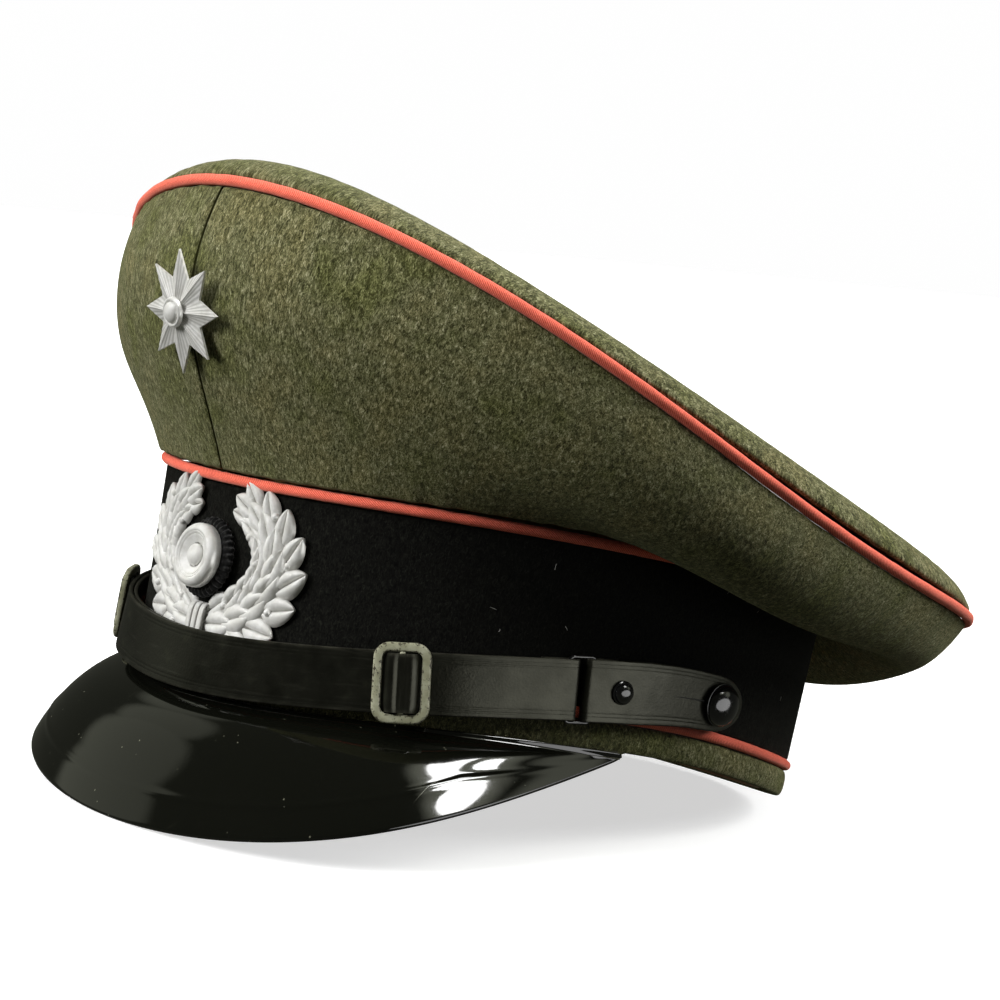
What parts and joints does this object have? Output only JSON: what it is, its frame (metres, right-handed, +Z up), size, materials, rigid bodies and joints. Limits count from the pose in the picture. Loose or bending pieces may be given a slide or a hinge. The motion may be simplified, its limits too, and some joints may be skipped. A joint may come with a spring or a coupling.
{
  "type": "military peaked cap",
  "caption": "Peaked cap with a raised saddle-shaped crown, piped band, lacquered peak, leather chin strap on side buttons, sliding buckles and plain badges.",
  "frame": {"origin": "centre of the bounding box's base, on the surface that the peak's edge and the rear of the rim stand on", "axes": "+Z up, -Y the cap's front (the peak), +X the wearer's left"},
  "size_m": [0.2494, 0.2832, 0.1808],
  "materials": {
    "field_grey_cloth": "melton wool, mottled grey-green with a short nap",
    "black_cloth": "black wool broadcloth, matt",
    "coral_cord": "coral wool piping over a cord",
    "black_lacquer": "black lacquered vulcanised fibre, high gloss",
    "black_leather": "black leather, low sheen",
    "tan_leather": "tan leather, smooth",
    "grey_paint": "grey-green enamel on steel, worn at the edges",
    "black_paint": "glossy black enamel",
    "silver_metal": "pressed aluminium, frosted",
    "steel": "plain steel",
    "fibre": "stiff fibre board",
    "satin_lining": "golden brown rayon satin",
    "clear_sheet": "clear celluloid sheet, slightly yellowed",
    "dark_ribbed_cloth": "black ribbed cloth backing"
  },
  "bodies": {
    "cap": {"lower_trim": "field_grey_cloth", "cap_band": "black_cloth", "band_stiffener": "fibre", "sweatband": "tan_leather", "band_piping_lower": "coral_cord", "band_piping_upper": "coral_cord", "crown_side_left": "field_grey_cloth", "crown_side_right": "field_grey_cloth", "crown_top_panel": "field_grey_cloth", "crown_piping": "coral_cord", "crown_wire_hoop": "steel", "front_stay": "fibre", "crown_lining": "satin_lining", "sweat_shield": "clear_sheet", "visor_shell": "black_lacquer", "side_button_left": "black_paint", "button_washer_left": "steel", "side_button_right": "black_paint", "button_washer_right": "steel", "wreath_badge": "silver_metal", "rosette_backing": "dark_ribbed_cloth", "rosette_ring": "silver_metal", "rosette_dome": "silver_metal", "star_badge": "silver_metal", "star_boss": "silver_metal", "wreath_prong_left": "steel", "star_prong_left": "steel", "wreath_prong_right": "steel", "star_prong_right": "steel"},
    "chin_strap": {"strap_outer": "black_leather", "strap_inner": "black_leather", "end_tab_left": "black_leather", "strap_loop_left": "black_paint", "tab_stud_left": "black_paint", "end_tab_right": "black_leather", "strap_loop_right": "black_paint", "tab_stud_right": "black_paint"},
    "left_buckle": {"buckle_left": "grey_paint", "buckle_fold_left": "black_leather"},
    "right_buckle": {"buckle_right": "grey_paint", "buckle_fold_right": "black_leather"}
  },
  "joints": [
    {"name": "strap_swing", "type": "hinge", "parent": "cap", "child": "chin_strap", "pos_m": [0, -0.00135, 0.04228], "axis": [-1, 0, 0], "range_deg": [0, 3.5]},
    {"name": "left_buckle_travel", "type": "hinge", "parent": "chin_strap", "child": "left_buckle", "pos_m": [-0.0008, -0.0309, 0.03646], "axis": [-0.1117, 0.0457, 0.9927], "range_deg": [-12, 16]},
    {"name": "right_buckle_travel", "type": "hinge", "parent": "chin_strap", "child": "right_buckle", "pos_m": [0.0008, -0.0309, 0.03646], "axis": [-0.1117, -0.0457, -0.9927], "range_deg": [-15, 11]}
  ]
}
